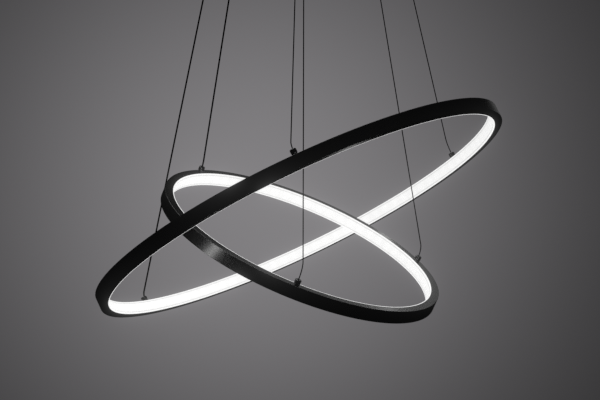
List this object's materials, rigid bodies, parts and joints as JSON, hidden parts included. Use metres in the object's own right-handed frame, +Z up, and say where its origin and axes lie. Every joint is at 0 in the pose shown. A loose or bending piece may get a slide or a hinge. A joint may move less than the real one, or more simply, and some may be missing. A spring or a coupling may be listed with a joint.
{
  "type": "led ring pendant light",
  "caption": "Pendant light with a large and a small leaning light ring, one nested in the other, lit on the inside, hung on thin wires from a round ceiling canopy.",
  "frame": {"origin": "middle of the ceiling plate's screw slots, on the ceiling", "axes": "+Z up towards the ceiling, +Y away from the viewer in the picture's view, +X to the right"},
  "size_m": [0.5497, 0.5915, 0.8074],
  "materials": {
    "black_channel": "extruded aluminium, satin black powder coat",
    "opal_diffuser": "opal acrylic, lit evenly from behind, neutral white",
    "strip_white": "flexible circuit board with white solder mask",
    "chip_phosphor": "phosphor-coated light-emitting chips",
    "joiner_aluminium": "plain extruded aluminium",
    "screw_black": "black oxide steel",
    "zinc_steel": "bright zinc-plated steel",
    "hanger_black": "turned brass, black nickel plate",
    "cord_black": "black two-core feed cord with a steel strength member",
    "steel_wire": "dark galvanised steel wire rope",
    "grip_black": "turned brass, black nickel plate",
    "plunger_nickel": "nickel-plated brass",
    "canopy_black": "spun steel, satin black powder coat",
    "driver_white": "white moulded case",
    "terminal_clear": "natural nylon",
    "lead_brown": "brown insulated lead",
    "lead_blue": "blue insulated lead"
  },
  "bodies": {
    "canopy": {"canopy_cover": "canopy_black", "ceiling_plate": "zinc_steel", "cover_screws": "zinc_steel", "driver_screws": "zinc_steel", "terminal_screws": "zinc_steel", "grip_nuts": "zinc_steel", "led_driver": "driver_white", "terminal_block": "terminal_clear", "mains_lead_1": "lead_brown", "mains_lead_2": "lead_blue", "cord_grip_screws": "screw_black", "large_cord_grip": "grip_black", "large_near_gripper": "grip_black", "large_right_gripper": "grip_black", "small_cord_grip": "grip_black", "small_near_gripper": "grip_black", "small_right_gripper": "grip_black"},
    "large_suspension": {"large_feed_cord": "cord_black", "large_near_wire": "steel_wire", "large_right_wire": "steel_wire"},
    "large_ring": {"large_channel": "black_channel", "large_feed_hanger": "hanger_black", "large_near_hanger": "hanger_black", "large_right_hanger": "hanger_black", "large_diffuser": "opal_diffuser", "large_led_strip": "strip_white", "large_led_chips": "chip_phosphor", "large_joiner": "joiner_aluminium", "large_joiner_screws": "screw_black", "large_grub_screws": "screw_black", "large_stud_nuts": "zinc_steel"},
    "large_near_release": {"large_near_plunger": "plunger_nickel"},
    "large_right_release": {"large_right_plunger": "plunger_nickel"},
    "small_suspension": {"small_feed_cord": "cord_black", "small_near_wire": "steel_wire", "small_right_wire": "steel_wire"},
    "small_ring": {"small_channel": "black_channel", "small_feed_hanger": "hanger_black", "small_near_hanger": "hanger_black", "small_right_hanger": "hanger_black", "small_diffuser": "opal_diffuser", "small_led_strip": "strip_white", "small_led_chips": "chip_phosphor", "small_joiner": "joiner_aluminium", "small_joiner_screws": "screw_black", "small_grub_screws": "screw_black", "small_stud_nuts": "zinc_steel"},
    "small_near_release": {"small_near_plunger": "plunger_nickel"},
    "small_right_release": {"small_right_plunger": "plunger_nickel"}
  },
  "joints": [
    {"name": "large_height", "type": "slide", "parent": "canopy", "child": "large_suspension", "axis": [0, 0, 1], "range_m": [-0.35, 0.15], "deforming": ["large_feed_cord", "large_near_wire", "large_right_wire"]},
    {"name": "large_tilt", "type": "hinge", "parent": "large_suspension", "child": "large_ring", "pos_m": [-0.01458, -0.28426, -0.58063], "axis": [0.4437, 0.8961, 0.0144], "range_deg": [-8, 12], "deforming": ["large_feed_cord", "large_near_wire", "large_right_wire"]},
    {"name": "large_near_release", "type": "slide", "parent": "canopy", "child": "large_near_release", "axis": [0, 0, 1], "range_m": [0, 0.0025], "stiffness_N_per_m": 300, "springref_m": -0.003},
    {"name": "large_right_release", "type": "slide", "parent": "canopy", "child": "large_right_release", "axis": [0, 0, 1], "range_m": [0, 0.0025], "stiffness_N_per_m": 300, "springref_m": -0.003},
    {"name": "small_height", "type": "slide", "parent": "canopy", "child": "small_suspension", "axis": [0, 0, 1], "range_m": [-0.35, 0.15], "deforming": ["small_feed_cord", "small_near_wire", "small_right_wire"]},
    {"name": "small_tilt", "type": "hinge", "parent": "small_suspension", "child": "small_ring", "pos_m": [-0.00715, -0.19078, -0.74165], "axis": [-0.5039, -0.8615, -0.0617], "range_deg": [-8, 12], "deforming": ["small_feed_cord", "small_near_wire", "small_right_wire"]},
    {"name": "small_near_release", "type": "slide", "parent": "canopy", "child": "small_near_release", "axis": [0, 0, 1], "range_m": [0, 0.0025], "stiffness_N_per_m": 300, "springref_m": -0.003},
    {"name": "small_right_release", "type": "slide", "parent": "canopy", "child": "small_right_release", "axis": [0, 0, 1], "range_m": [0, 0.0025], "stiffness_N_per_m": 300, "springref_m": -0.003}
  ]
}
